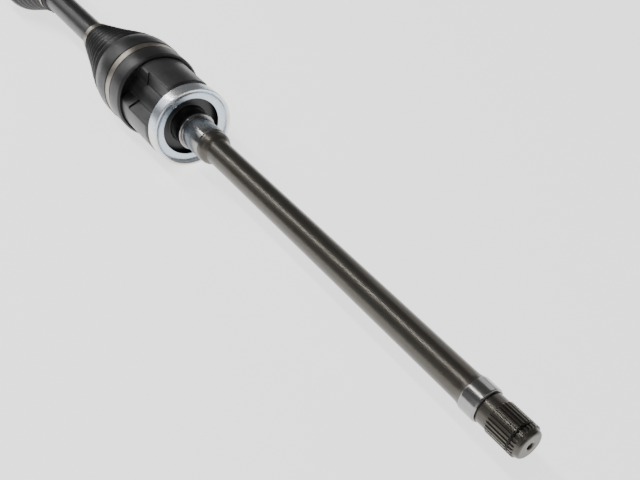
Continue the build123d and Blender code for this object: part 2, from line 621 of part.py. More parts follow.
# ---------------------------------------------------------------- write the nodes
def main():
    save(stub_shaft(), "stub_shaft")
    save(stub_circlip(), "stub_circlip")
    save(tripod_housing(), "tripod_housing")
    save(dust_ring(), "dust_ring")
    save(boot_adapter(), "boot_adapter")

    pieces = {"outer_roller": outer_roller(), "roller_clips": roller_clips(), "needles": needles(),
              "inner_ring": inner_ring()}
    for i in range(3):
        for name, piece in pieces.items():
            placed = Pos(TRIPOD_X, 0, 0) * about_x(piece, 120 * i + LOBE_TURN)
            save(placed, f"{name}_{i + 1}")
    save(Pos(TRIPOD_X, 0, 0) * tripod_spider(), "tripod_spider")

    save(axle_bar(), "axle_bar")
    save(bar_clips("spider"), "spider_clips")
    save(bar_clips("race"), "race_clips")

    at_ball = Pos(BALL_X, 0, 0)
    save(at_ball * inner_race(), "inner_race")
    save(at_ball * ball_cage(), "ball_cage")
    ball = Pos(0, 0, BALL_CIRCLE_R) * Sphere(BALL_R)
    for i, a in enumerate(ball_angles()):
        save(at_ball * about_x(ball, a), f"ball_{i + 1}")
    save(at_ball * outer_bell(), "outer_bell")
    save(at_ball * tone_ring(), "tone_ring")
    save(at_ball * axle_nut(), "axle_nut")

    save(inner_boot(), "inner_boot")
    save(at_ball * outer_boot(), "outer_boot")
    over_boot = SMALL_COLLAR_R + SMALL_LIP + SOFT_GAP
    side = (SMALL_COLLAR - SMALL_BAND_W) / 2
    mouth_side = (BOOT_SEAT_END - BELL_MOUTH - BAND_W) / 2
    save(band(BAND_START, BAND_W, COLLAR_R - BAND_SINK), "inner_boot_band_large")
    save(band(INNER_BOOT_END - SMALL_BAND_W - side, SMALL_BAND_W, over_boot), "inner_boot_band_small")
    save(at_ball * band(BELL_MOUTH + mouth_side, BAND_W, OUTER_COLLAR_R), "outer_boot_band_large")
    save(at_ball * band(OUTER_BOOT_END + side, SMALL_BAND_W, over_boot), "outer_boot_band_small")


main()
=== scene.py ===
# %% [markdown]
# A drive axle, looked at from its gearbox end
#
# The steel parts of this axle come from the machinist's model and are already the right
# shape and size. This lesson gives them their finishes, and remodels what the plain
# model only hints at: the splined stub shaft, the pressed and plated dust ring, the
# moulded rubber boots and the steel bands that clamp them.
# Everything is in metres. The axle lies along X, with Z up.

import json
from math import atan2, cos, pi, radians, sin

import bpy
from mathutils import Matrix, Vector


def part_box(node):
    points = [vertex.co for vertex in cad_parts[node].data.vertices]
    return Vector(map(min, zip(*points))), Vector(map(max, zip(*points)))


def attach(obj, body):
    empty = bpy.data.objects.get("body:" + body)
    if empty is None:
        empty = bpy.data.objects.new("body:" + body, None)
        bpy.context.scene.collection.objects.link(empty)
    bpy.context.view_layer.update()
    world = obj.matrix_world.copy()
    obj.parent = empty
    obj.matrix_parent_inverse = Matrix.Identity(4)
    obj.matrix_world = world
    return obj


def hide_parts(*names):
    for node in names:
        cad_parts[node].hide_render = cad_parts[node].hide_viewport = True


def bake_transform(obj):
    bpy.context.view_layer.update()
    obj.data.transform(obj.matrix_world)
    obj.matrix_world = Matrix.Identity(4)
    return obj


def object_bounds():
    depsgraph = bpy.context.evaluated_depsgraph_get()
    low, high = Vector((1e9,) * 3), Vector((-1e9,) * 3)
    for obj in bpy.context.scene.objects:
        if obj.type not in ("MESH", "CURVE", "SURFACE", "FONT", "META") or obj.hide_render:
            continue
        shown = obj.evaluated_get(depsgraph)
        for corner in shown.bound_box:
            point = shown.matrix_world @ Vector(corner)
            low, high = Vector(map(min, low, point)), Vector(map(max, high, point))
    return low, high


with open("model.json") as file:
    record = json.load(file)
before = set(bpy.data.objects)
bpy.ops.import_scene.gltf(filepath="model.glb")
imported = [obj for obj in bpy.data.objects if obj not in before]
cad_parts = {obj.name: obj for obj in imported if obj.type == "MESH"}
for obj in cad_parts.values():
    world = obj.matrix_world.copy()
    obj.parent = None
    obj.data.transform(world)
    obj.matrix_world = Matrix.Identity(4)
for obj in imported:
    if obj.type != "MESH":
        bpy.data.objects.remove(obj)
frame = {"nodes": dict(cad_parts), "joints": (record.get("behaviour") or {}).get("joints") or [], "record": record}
cad_low, cad_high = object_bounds()
nodes = frame["nodes"]
MM = 0.001
length = round((cad_high[0] - cad_low[0]) / MM)
print("the axle is", length, "mm long, in", len(nodes), "CAD nodes")


# %% [markdown]
# Measuring before modelling
#
# A good habit is to ask the model for its sizes and never to retype them. Each node can
# tell its box, and for a turned part the box says all that matters: where it starts,
# where it ends and its largest radius.

# %% Sizes read from the steel
def span(node):
    """Start and end of a node along the axle."""
    low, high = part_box(node)
    return low.x, high.x


def radius(node):
    """Largest radius of a node about the axle."""
    return max((v.co.y ** 2 + v.co.z ** 2) ** 0.5 for v in nodes[node].data.vertices)


def joint_x(name):
    """Where a joint's pivot lies along the axle."""
    return next(joint["pos_m"][0] for joint in frame["joints"] if joint["name"] == name)


STUB_START, STUB_END = span("stub_shaft")
MOUTH = span("tripod_housing")[1]
RING_START, RING_END = span("dust_ring")
RING_R = radius("dust_ring")
SEAL_R = radius("stub_shaft")
SEAL_RISE = 1.75 * MM
SHAFT_R = SEAL_R - SEAL_RISE
BAR_R = (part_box("axle_bar")[1].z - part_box("axle_bar")[0].z) / 2
JOINT_X = joint_x("inner_bend")
print("shaft radius", round(SHAFT_R / MM, 2), "mm, tripod joint at", JOINT_X)


# %% [markdown]
# Turning on the computer's lathe
#
# Almost every part of an axle is turned. A lathe in Blender is one ring of points that
# is extruded and scaled over and over: each extrusion walks along the axle, and each
# scaling sets the next radius. A Spin of a drawn profile gives the same shape, but the
# walk needs no profile to be drawn first, and it keeps the rings clean.

# %% Turning tools
SAME_RADIUS = 1e-9
MERGE_GAP = 1e-6


def alone(obj):
    """Makes obj the only selected and the active object."""
    bpy.ops.object.select_all(action="DESELECT")
    obj.select_set(True)
    bpy.context.view_layer.objects.active = obj


def ring_walk(name, outline, around=96):
    """Turns an outline of (x, radius) stations about the X axis into a mesh object."""
    bpy.ops.object.select_all(action="DESELECT")
    x, r = outline[0]
    bpy.ops.mesh.primitive_circle_add(
        vertices=around, radius=r, rotation=(0, pi / 2, 0), location=(x, 0, 0))
    obj = bpy.context.object
    obj.name = name
    bpy.ops.object.transform_apply(location=True, rotation=True, scale=True)
    bpy.ops.object.mode_set(mode="EDIT")
    bpy.ops.mesh.select_all(action="SELECT")
    for next_x, next_r in outline[1:]:
        bpy.ops.mesh.extrude_edges_move(TRANSFORM_OT_translate={"value": (next_x - x, 0, 0)})
        if abs(next_r - r) > SAME_RADIUS:
            k = next_r / r
            bpy.ops.transform.resize(value=(1, k, k), center_override=(next_x, 0, 0))
        x, r = next_x, next_r
    bpy.ops.mesh.select_all(action="SELECT")
    bpy.ops.mesh.remove_doubles(threshold=MERGE_GAP)
    bpy.ops.mesh.normals_make_consistent(inside=False)
    bpy.ops.object.mode_set(mode="OBJECT")
    return obj


def arc(centre_x, centre_r, size, start, end, steps=6):
    """Points on a round corner, with angles in degrees measured from +X towards outwards."""
    points = []
    for i in range(steps + 1):
        a = radians(start + (end - start) * i / steps)
        points.append((centre_x + size * cos(a), centre_r + size * sin(a)))
    return points


def rounded(points, steps=4):
    """Rounds the corners of an outline of (x, radius, rounding) points."""
    out = []
    last = len(points) - 1
    for i, (x, r, size) in enumerate(points):
        here = Vector((x, r))
        if size <= 0 or i in (0, last):
            out.append((x, r))
            continue
        before = Vector(points[i - 1][:2]) - here
        after = Vector(points[i + 1][:2]) - here
        cut = min(size, before.length * 0.49, after.length * 0.49)
        a = here + before.normalized() * cut
        b = here + after.normalized() * cut
        for k in range(steps + 1):
            t = k / steps
            p = a * (1 - t) ** 2 + here * 2 * t * (1 - t) + b * t * t
            out.append((p.x, p.y))
    return out


def smooth(obj, angle=35):
    """Shades obj smoothly, with creases kept where two faces meet at more than this angle."""
    alone(obj)
    bpy.ops.object.shade_smooth_by_angle(angle=radians(angle))
    for modifier in list(obj.modifiers):
        bpy.ops.object.modifier_apply(modifier=modifier.name)
    return obj


def placed(obj, body, slot, *stands_for):
    """Hangs a finished piece on its body, and hides the plain nodes it stands for."""
    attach(obj, body)
    if stands_for:
        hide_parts(*stands_for)
    print(obj.name, len(obj.data.polygons), "faces on", body)
    return obj


# %% [markdown]
# Shader sums in plain Python
#
# Node trees are slow to write by hand, so a small class stands for one socket and lets
# us add, subtract and multiply sockets as if they were numbers. Behind each sign it
# adds the matching Math node. Any other node comes from one method that takes the node's type,
# its settings and its inputs.

# %% Shader tools
class Value:
    """One number socket of a node tree, with sums."""

    def __init__(self, tree, socket):
        self.tree = tree
        self.socket = socket

    def sum(self, operation, a, b):
        return self.tree.node("ShaderNodeMath", {"operation": operation}, {0: a, 1: b}).value()

    def __add__(self, other):
        return self.sum("ADD", self, other)

    def __sub__(self, other):
        return self.sum("SUBTRACT", self, other)

    def __rsub__(self, other):
        return self.sum("SUBTRACT", other, self)

    def __mul__(self, other):
        return self.sum("MULTIPLY", self, other)

    def power(self, other):
        return self.sum("POWER", self, other)

    def clamp(self, low, high):
        """Maps low..high to 0..1 and stops at both ends."""
        inputs = {"Value": self, "From Min": low, "From Max": high}
        return self.tree.node("ShaderNodeMapRange", {"clamp": True}, inputs).value()


class Made:
    """A node that has just been made, with its outputs."""

    def __init__(self, tree, node):
        self.tree = tree
        self.node = node

    def value(self, name=0):
        return Value(self.tree, self.node.outputs[name])


class Finish:
    """A material being made, with its node tree."""

    def __init__(self, name):
        self.material = bpy.data.materials.new(name)
        self.material.use_nodes = True
        self.nodes = self.material.node_tree.nodes
        self.links = self.material.node_tree.links
        self.shader = self.nodes["Principled BSDF"]
        self.place = self.node("ShaderNodeTexCoord").value("Object")

    def node(self, kind, settings=None, inputs=None):
        made = self.nodes.new(kind)
        for key, setting in (settings or {}).items():
            if key == "ramp":
                ramp = made.color_ramp
                for stop, (where, colour) in enumerate(setting):
                    element = ramp.elements[stop] if stop < 2 else ramp.elements.new(where)
                    element.position = where
                    element.color = (*colour, 1)
            else:
                setattr(made, key, setting)
        for key, given in (inputs or {}).items():
            self.join(given, made.inputs[key])
        return Made(self, made)

    def join(self, given, socket):
        if isinstance(given, Value):
            self.links.new(given.socket, socket)
        else:
            socket.default_value = given

    def set(self, **inputs):
        """Sets sockets of the shader, by their names with _ for a space."""
        for key, given in inputs.items():
            self.join(given, self.shader.inputs[key.replace("_", " ")])

    def scaled(self, x, y, z):
        """The place on the piece, stretched along each axis."""
        inputs = {"Vector": self.place, "Scale": (x, y, z)}
        return self.node("ShaderNodeMapping", {}, inputs).value()

    def noise(self, scale, detail=3.0, roughness=0.5, vector=None):
        inputs = {"Vector": vector or self.place, "Scale": scale}
        inputs.update(Detail=detail, Roughness=roughness)
        return self.node("ShaderNodeTexNoise", {}, inputs).value("Fac")

    def across(self):
        """The place on the piece across the axle, as two numbers."""
        split = self.node("ShaderNodeSeparateXYZ", {}, {"Vector": self.place})
        return split.value("Y"), split.value("Z")

    def blend_colour(self, factor, a, b):
        def whole(c):
            return c if isinstance(c, Value) else (*c, 1)

        mix = self.node("ShaderNodeMix", {"data_type": "RGBA"})
        self.join(factor, mix.node.inputs["Factor"])
        self.join(whole(a), mix.node.inputs[6])
        self.join(whole(b), mix.node.inputs[7])
        return mix.value(2)

    def relief(self, height, depth, strength=1.0):
        """Bumps the surface by a height in 0..1, where depth is its real size in metres."""
        inputs = {"Height": height, "Distance": depth, "Strength": strength}
        bump = self.node("ShaderNodeBump", {}, inputs)
        self.set(Normal=bump.value("Normal"))


def finish(slot):
    return Finish(slot.replace("_", " "))


# %% [markdown]
# Phosphated steel
#
# The long stub shaft is dark grey-brown: a phosphate and oil coat over turned steel.
# It isn't flat. The coat is cloudy, grains of it catch the light, and faint turning
# marks run round the shaft. Rings come from stretching a noise so that it changes only
# along X; the clouds and grains are two more noises at other sizes.

# %% Phosphated steel
def phosphated_steel():
    made = finish("phosphated_steel")
    cloud = made.noise(55, 5, 0.62)
    grain = made.noise(2600, 2, 0.6)
    streak = made.noise(1.0, 4, 0.6, made.scaled(16, 380, 380))
    turning = made.noise(1.0, 3, 0.55, made.scaled(2400, 14, 14))
    mottle = (cloud * 0.40 + grain * 0.42 + streak * 0.18).clamp(0.20, 0.80)
    colour = made.blend_colour(mottle, (0.062, 0.057, 0.048), (0.105, 0.098, 0.085))
    warm = made.noise(24, 3, 0.5).clamp(0.52, 0.72)
    colour = made.blend_colour(warm * 0.25, colour, (0.090, 0.079, 0.060))
    made.set(Base_Color=colour, Metallic=0.75, Roughness=(mottle * 0.05 + turning * 0.05 + 0.27))
    made.relief(grain * 0.5 + turning * 0.5, 0.00001, 0.2)
    return made.material


FINISHES = {"phosphated_steel": phosphated_steel()}
print("phosphated steel made")


# %% [markdown]
# Ground steel
#
# Seats for seals and bearings are ground bright. The grinding wheel leaves fine lines
# that run round the shaft, so the gloss stretches into a streak along it. Fine lines
# that vary only along X give that, and a thin oil stain keeps it from looking new.

# %% Ground steel
def ground_steel():
    made = finish("ground_steel")
    lines = made.noise(1.0, 4, 0.6, made.scaled(1900, 8, 8))
    bands = made.noise(1.0, 2, 0.5, made.scaled(420, 3, 3))
    stain = made.noise(90, 4, 0.6).clamp(0.45, 0.75)
    dark, light = (0.24, 0.238, 0.235), (0.34, 0.337, 0.334)
    colour = made.blend_colour(lines * 0.5 + bands * 0.5, dark, light)
    colour = made.blend_colour(stain * 0.3, colour, (0.17, 0.155, 0.13))
    made.set(Base_Color=colour, Metallic=1.0, Roughness=(lines * 0.10 + stain * 0.06 + 0.14))
    made.relief(lines, 0.00001, 0.05)
    return made.material


FINISHES["ground_steel"] = ground_steel()
print("ground steel made")


# %% [markdown]
# Black coated steel
#
# The tripod housing, the bar and the outer bell are black: a thin baked coat over
# machined and forged steel. Machining marks print through, edges wear to a lighter
# grey, and oil leaves brownish smears.

# %% Black coated steel
def black_coated_steel():
    made = finish("black_coated_steel")
    orange_peel = made.noise(1500, 3, 0.55)
    cloud = made.noise(38, 4, 0.6)
    marks = made.noise(1.0, 4, 0.6, made.scaled(900, 40, 40))
    smear = made.noise(1.0, 4, 0.55, made.scaled(9, 60, 60)).clamp(0.54, 0.74)
    dark, light = (0.0055, 0.0055, 0.0062), (0.012, 0.012, 0.0135)
    colour = made.blend_colour(cloud.clamp(0.3, 0.7), dark, light)
    colour = made.blend_colour(smear * 0.5, colour, (0.030, 0.024, 0.018))
    worn = made.node("ShaderNodeNewGeometry").value("Pointiness").clamp(0.51, 0.60) * cloud
    colour = made.blend_colour(worn * 0.8, colour, (0.10, 0.10, 0.105))
    made.set(Base_Color=colour, Metallic=0.15, Specular_IOR_Level=0.55, Coat_Roughness=0.3)
    made.set(Roughness=(cloud * 0.14 + marks * 0.12 + 0.24))
    made.relief(orange_peel * 0.6 + marks * 0.4, 0.00006, 0.5)
    return made.material


FINISHES["black_coated_steel"] = black_coated_steel()
print("black coat made")


# %% [markdown]
# Zinc plate
#
# The dust ring is zinc plated and passivated. The film is thin enough to tint the
# light, so the silver drifts to straw, blue and faint sea green round the ring. A slow
# noise picks the tint and a fine one the frosted grain of the plating.

# %% Zinc plate
def zinc_plate():
    made = finish("zinc_plate")
    film = made.noise(30, 2, 0.45)
    y, z = made.across()
    away = (y * y + z * z).power(0.5)
    skirt = away.clamp(RING_R - 4.5 * MM, RING_R - 2.5 * MM)
    grain = made.noise(1900, 3, 0.6)
    blotch = made.noise(160, 4, 0.6)
    stops = [(0.30, (0.48, 0.60, 0.66)), (0.44, (0.60, 0.66, 0.74)), (0.52, (0.70, 0.72, 0.74)),
             (0.62, (0.72, 0.69, 0.60)), (0.74, (0.56, 0.50, 0.36))]
    tint = made.node("ShaderNodeValToRGB", {"ramp": stops}, {"Fac": film}).value("Color")
    tint = made.blend_colour((1 - skirt) * 0.65, tint, (0.46, 0.56, 0.68))
    colour = made.blend_colour(blotch.clamp(0.35, 0.8) * 0.3, tint, (0.50, 0.52, 0.53))
    made.set(Base_Color=colour, Metallic=0.95, Roughness=(grain * 0.08 + blotch * 0.12 + 0.18))
    made.relief(grain * 0.7 + blotch * 0.3, 0.00002, 0.12)
    return made.material


FINISHES["zinc_plate"] = zinc_plate()
print("zinc plate made")


# %% [markdown]
# Boot rubber
#
# The boots are moulded rubber, nearly black and matt, with a slight bloom of grease and
# dust that gathers in patches. Moulded rubber has a fine even skin, so its relief is
# small, and the sheen is broad and dull.

# %% Boot rubber
def boot_rubber():
    made = finish("boot_rubber")
    skin = made.noise(1700, 3, 0.6)
    bloom = made.noise(45, 4, 0.6).clamp(0.42, 0.72)
    grease = made.noise(1.0, 3, 0.5, made.scaled(60, 20, 20)).clamp(0.55, 0.72)
    colour = made.blend_colour(bloom, (0.0075, 0.0075, 0.0082), (0.017, 0.0165, 0.016))
    made.set(Base_Color=colour, Metallic=0.0, Specular_IOR_Level=0.45)
    made.set(Roughness=(skin * 0.08 + bloom * 0.12 - grease * 0.12 + 0.34))
    made.relief(skin, 0.00008, 0.55)
    return made.material


FINISHES["boot_rubber"] = boot_rubber()
print("boot rubber made")


# %% [markdown]
# Band, bearing and spring steel
#
# The clamp bands are thin stainless strip, a little brown from handling, rolled with
# lines that run round the boot. Bearing steel is hardened and polished. Spring steel
# clips are dark from their heat treatment, and their colour is made darker still as
# painted shade, for the shade a clip sits in down its groove. One function makes all
# three, because they differ only in colour and gloss.

# %% Strip, bearing and spring steel
def rolled_steel(slot, dark, light, gloss):
    made = finish(slot)
    lines = made.noise(1.0, 5, 0.65, made.scaled(2600, 30, 30))
    patch = made.noise(120, 4, 0.6)
    colour = made.blend_colour((lines * 0.5 + patch * 0.5).clamp(0.3, 0.7), dark, light)
    made.set(Base_Color=colour, Metallic=1.0, Roughness=(lines * 0.12 + patch * 0.12 + gloss))
    made.relief(lines, 0.00003, 0.5)
    return made.material


for slot, dark, light, gloss in (
        ("stainless_band", (0.20, 0.175, 0.145), (0.38, 0.345, 0.30), 0.24),
        ("bearing_steel", (0.48, 0.48, 0.49), (0.68, 0.68, 0.69), 0.10),
        # spring steel is near black: dark heat-treated steel, darkened further as painted shade for the clip in
        # its groove
        ("spring_steel", (0.012, 0.012, 0.012), (0.035, 0.034, 0.033), 0.30)):
    FINISHES[slot] = rolled_steel(slot, dark, light, gloss)
print(len(FINISHES), "finishes")


# %% [markdown]
# Clean faces for the machined steel
#
# A part that comes from a machinist's model carries its own normals, and its shading
# bleeds round the corners: a ground seat then looks dished. The cure is a copy
# whose points are merged, whose sharp edges are marked by their angle, and whose
# normals are weighted by face area, so that a long seat shades as a true cylinder.
# The original stays as it is, and the copy stands for it.

# %% Copies with true shading
BODIES = frame["record"]["behaviour"]["bodies"]
BODY_OF = {node: body for body, members in BODIES.items() for node in members}
SLOT_OF = {sub["node"]: sub["material_slot"] for sub in frame["record"]["subparts"]}
CAD_MERGE_GAP = 2e-6


def dress(obj, *slots):
    """Gives a mesh the named finishes, in order."""
    obj.data.materials.clear()
    for slot in slots:
        obj.data.materials.append(FINISHES[slot])


def sort_faces(obj, pick):
    """Gives each face the finish number that pick(centre, radius from the axle) returns."""
    for face in obj.data.polygons:
        centre = face.center
        face.material_index = pick(centre, (centre.y ** 2 + centre.z ** 2) ** 0.5)


def true_shading(obj, angle=30):
    """Marks creases by angle and weights the normals by face area."""
    smooth(obj, angle)
    weighted = obj.modifiers.new("weighted", "WEIGHTED_NORMAL")
    weighted.keep_sharp = True
    bpy.ops.object.modifier_apply(modifier=weighted.name)
    return obj


def refaced(node):
    """A merged copy of a CAD node, riding where the node does and standing for it."""
    alone(nodes[node])
    bpy.ops.object.duplicate()
    copy = bpy.context.object
    copy.name = node + "_finished"
    for key in list(copy.keys()):
        del copy[key]
    copy.parent = None
    alone(copy)
    bpy.ops.mesh.customdata_custom_splitnormals_clear()
    bpy.ops.object.mode_set(mode="EDIT")
    bpy.ops.mesh.select_all(action="SELECT")
    bpy.ops.mesh.remove_doubles(threshold=CAD_MERGE_GAP)
    bpy.ops.object.mode_set(mode="OBJECT")
    true_shading(copy)
    dress(copy, SLOT_OF[node])
    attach(copy, BODY_OF[node])
    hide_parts(node)
    return copy


# %% [markdown]
# Three finishes on one housing
#
# The housing forging is black, but its front shank is turned and ground bright, with a
# dull band of phosphated steel on the nose where the grinding stops. Rather than cut
# the part in pieces, its faces are sorted by where they lie: each face looks up its
# finish from its place along the axle and its distance from it.

# %% Housing and shaft finishes by place
SEAT_START = JOINT_X - 127 * MM
BOSS_FRONT = JOINT_X - 77 * MM
SHOULDER_R = SHAFT_R + 7.25 * MM
BLACK, DULL, GROUND = 0, 1, 2


def housing_finish(centre, r):
    """Which of the housing's three finishes a face has."""
    if r > SHOULDER_R + 0.05 * MM or centre.x > BOSS_FRONT - 0.5 * MM:
        return BLACK
    return DULL if centre.x < SEAT_START else GROUND


for node, slot in SLOT_OF.items():
    dress(nodes[node], slot)
STEEL_IN_VIEW = (
    "tripod_housing", "axle_bar", "outer_bell", "tone_ring", "axle_nut", "boot_adapter")
for node in STEEL_IN_VIEW:
    copy = refaced(node)
    if node == "tripod_housing":
        dress(copy, "black_coated_steel", "phosphated_steel", "ground_steel")
        sort_faces(copy, housing_finish)
    print(copy.name, len(copy.data.polygons), "faces")
for i in range(1, 4):
    refaced(f"outer_roller_{i}")
print("finishes given to", len(SLOT_OF), "nodes")


# %% [markdown]
# The stub shaft
#
# The long shaft starts as a tiny ring at the bottom of its centre hole, is walked out
# over the end face and then along its stations. The 27 spline teeth are raised from
# the rings between two stations: with eight points to a tooth, the points of each land
# are pushed outwards and the others stay in the root. Cutting
# grooves with a Boolean would work too, but leaves messy faces at the run-out, while
# raised points blend into the shaft by themselves.

# %% Stub shaft
TEETH = 27
PER_TOOTH = 8
TIP_R = SHAFT_R + 0.75 * MM
ROOT_R = SHAFT_R - 0.4 * MM
SPLINE_START = STUB_START + 4.0 * MM
SPLINE_END = STUB_START + 29.5 * MM
CLIP_X = STUB_START + 8.4 * MM
CLIP_DEEP_R = SHAFT_R - 1.05 * MM
CLIP_HALF = 1.0 * MM
CLIP_EDGE = 1.05 * MM
NECK_R = SHAFT_R - 0.05 * MM
GROOVE_R = NECK_R - 0.7 * MM
SEAL_START = STUB_START + 39.9 * MM
SEAL_END = STUB_START + 53.6 * MM
SEAL_FRONT_ROUND = 1.0 * MM
SEAL_REAR_ROUND = 1.2 * MM
SEAL_FILLET = 8.0 * MM
TIP_ROUND = 2.4 * MM
NEARLY_ON_AXIS = 0.02 * MM
LONG_STEPS = 8


def raise_lands(obj, x_from, x_to, tip, root, teeth, per_tooth):
    """Scales the points of each tooth's land out to the tip radius between two stations."""
    alone(obj)
    bpy.ops.object.mode_set(mode="EDIT")
    bpy.ops.mesh.select_all(action="DESELECT")
    bpy.ops.mesh.select_mode(type="VERT")
    bpy.ops.object.mode_set(mode="OBJECT")
    for v in obj.data.vertices:
        r = (v.co.y ** 2 + v.co.z ** 2) ** 0.5
        share = (atan2(v.co.z, v.co.y) / (2 * pi) * teeth + 0.5 / per_tooth) % 1
        on_land = share < 0.5
        v.select = x_from < v.co.x < x_to and r > root - 0.01 * MM and on_land
    count = sum(v.select for v in obj.data.vertices)
    bpy.ops.object.mode_set(mode="EDIT")
    k = tip / root
    bpy.ops.transform.resize(value=(1, k, k), center_override=(0, 0, 0))
    bpy.ops.object.mode_set(mode="OBJECT")
    return count


face_edge = ROOT_R - 0.5 * MM
shaft_outline = [
    (STUB_START + 10.0 * MM, NEARLY_ON_AXIS), (STUB_START + 9.0 * MM, 2.5 * MM),
    (STUB_START + 1.2 * MM, 2.6 * MM), (STUB_START + 0.3 * MM, 3.1 * MM),
    (STUB_START, 3.6 * MM),
]
shaft_outline += [(STUB_START, face_edge * k) for k in (0.45, 0.65, 0.78)]
shaft_outline += arc(STUB_START + TIP_ROUND, face_edge - TIP_ROUND, TIP_ROUND, 180, 95, 8)
shaft_outline += [
    (SPLINE_START - 0.7 * MM, ROOT_R - 0.12 * MM), (SPLINE_START - 0.4 * MM, ROOT_R),
    (SPLINE_START + 0.5 * MM, ROOT_R), (CLIP_X - CLIP_EDGE, ROOT_R),
    (CLIP_X - CLIP_HALF, CLIP_DEEP_R), (CLIP_X + CLIP_HALF, CLIP_DEEP_R),
    (CLIP_X + CLIP_EDGE, ROOT_R), (SPLINE_END - 2.5 * MM, ROOT_R),
    (SPLINE_END - 1.2 * MM, ROOT_R), (SPLINE_END, ROOT_R + 0.25 * MM),
    (SPLINE_END + 1.4 * MM, NECK_R), (SEAL_START - 2.3 * MM, NECK_R),
    (SEAL_START - 2.2 * MM, NECK_R - 0.1 * MM), (SEAL_START - 2.15 * MM, GROOVE_R),
    (SEAL_START - 1.25 * MM, GROOVE_R), (SEAL_START - 1.2 * MM, SEAL_R - SEAL_FRONT_ROUND),
]
shaft_outline += arc(
    SEAL_START + 0.5 * MM, SEAL_R - SEAL_FRONT_ROUND, SEAL_FRONT_ROUND, 160, 90, 5)
shaft_outline += [(SEAL_START + 4 * MM, SEAL_R)]
shaft_outline += arc(
    SEAL_END - 0.8 * MM, SEAL_R - SEAL_REAR_ROUND, SEAL_REAR_ROUND, 90, 55, 4)
shaft_outline += [
    (SEAL_END + 2.6 * MM, SHAFT_R + 0.55 * MM), (SEAL_END + 5.0 * MM, SHAFT_R + 0.14 * MM),
    (SEAL_END + SEAL_FILLET, SHAFT_R),
]
long_run = STUB_END - SEAL_END - SEAL_FILLET
shaft_outline += [
    (SEAL_END + SEAL_FILLET + long_run * i / LONG_STEPS, SHAFT_R)
    for i in range(1, LONG_STEPS + 1)
]
shaft_outline += [(STUB_END, NEARLY_ON_AXIS)]

stub = ring_walk("stub_shaft_turned", shaft_outline, TEETH * PER_TOOTH)
raised = raise_lands(
    stub, SPLINE_START + 0.2 * MM, SPLINE_END - 1.0 * MM, TIP_R, ROOT_R, TEETH, PER_TOOTH)
true_shading(stub, 32)
dress(stub, "phosphated_steel", "ground_steel")
sort_faces(stub, lambda c, r: int(SEAL_START - 1.1 * MM < c.x < SEAL_END + 0.3 * MM))
placed(stub, "housing", "phosphated_steel", "stub_shaft")
print(raised, "points raised for", TEETH, "teeth")


# %% [markdown]
# The dust ring
#
# A cup pressed from sheet: a skirt grips the housing's boss, the rim is rolled, and the
# flange is dished around a wide opening. The outline goes round the sheet once, with
# its corners rounded, and ends where it began, so that merging the doubled points
# closes the sheet. A flat ring with Solidify is quicker, but its wall is thin where it
# bends.

# %% Dust ring
SHEET = 1.6 * MM
DISH_DEPTH = 3.8 * MM
FLANGE = 12.3 * MM


def closed_ring(name, outline, around=128):
    """Turns an outline that closes on itself, such as the section of a sheet."""
    return ring_walk(name, outline + [outline[0]], around)


dish = RING_START + DISH_DEPTH
dust_outline = rounded([
    (RING_END, RING_R - SHEET, 0), (RING_END, RING_R, 0.5 * MM), (RING_START, RING_R, 2.2 * MM),
    (RING_START, RING_R - 2.9 * MM, 1.4 * MM), (dish, RING_R - 5.6 * MM, 2.2 * MM),
    (dish, RING_R - FLANGE, 0.8 * MM), (dish + SHEET, RING_R - FLANGE, 0.8 * MM),
    (dish + SHEET, RING_R - 4.9 * MM, 1.2 * MM), (RING_START + SHEET, RING_R - 2.4 * MM, 0.6 * MM),
    (RING_START + SHEET, RING_R - SHEET, 0.6 * MM), (RING_END - 0.2 * MM, RING_R - SHEET, 0),
], 5)
dust = true_shading(closed_ring("dust_ring_pressed", dust_outline), 40)
dress(dust, "zinc_plate")
placed(dust, "housing", "zinc_plate", "dust_ring")


# %% [markdown]
# The rubber boots
#
# Each boot is a turned wall of rubber: a thick collar with a seat for the clamp, a row
# of folds that shrink towards the bar, and a small collar that grips it. A wave gives
# the folds: crest and root radii follow a smooth line, and a cosine swings between
# them. The outside is walked first, then the inside is walked back, so that the wall
# has a real thickness. The inner boot is made of two lengths that meet at a crest.

# %% Boot walls
WALL = 2.4 * MM
CREASE = 60
BAND_T = 0.9 * MM
SEAT_DEPTH = 0.7 * MM
EDGE = 0.8 * MM
NECK = 15 * MM
SMALL_COLLAR = 18 * MM
FOLD_DEPTH = 4.2 * MM


def folds(start, end, r_start, r_end, count, depth, shape=1.0, steps=12):
    """Stations of a row of folds from start to end, with a crest at both ends."""
    stations = []
    total = count * steps
    for i in range(total + 1):
        t = i / total
        middle = r_start + (r_end - r_start) * t ** shape
        swing = (1 - cos(2 * pi * count * t)) / 2
        stations.append((start + (end - start) * t, middle - depth * swing))
    return stations


def boot_wall(name, outside, around=96):
    """A rubber wall from its outside stations, walked out and back."""
    inside = []
    for i, (x, r) in enumerate(outside):
        before = outside[max(i - 1, 0)]
        after = outside[min(i + 1, len(outside) - 1)]
        run = Vector((after[0] - before[0], after[1] - before[1])).normalized()
        inside.append((x + run.y * WALL * 0.35, r - WALL * max(abs(run.x), 0.75)))
    return smooth(ring_walk(name, outside + inside[::-1] + [outside[0]], around), CREASE)


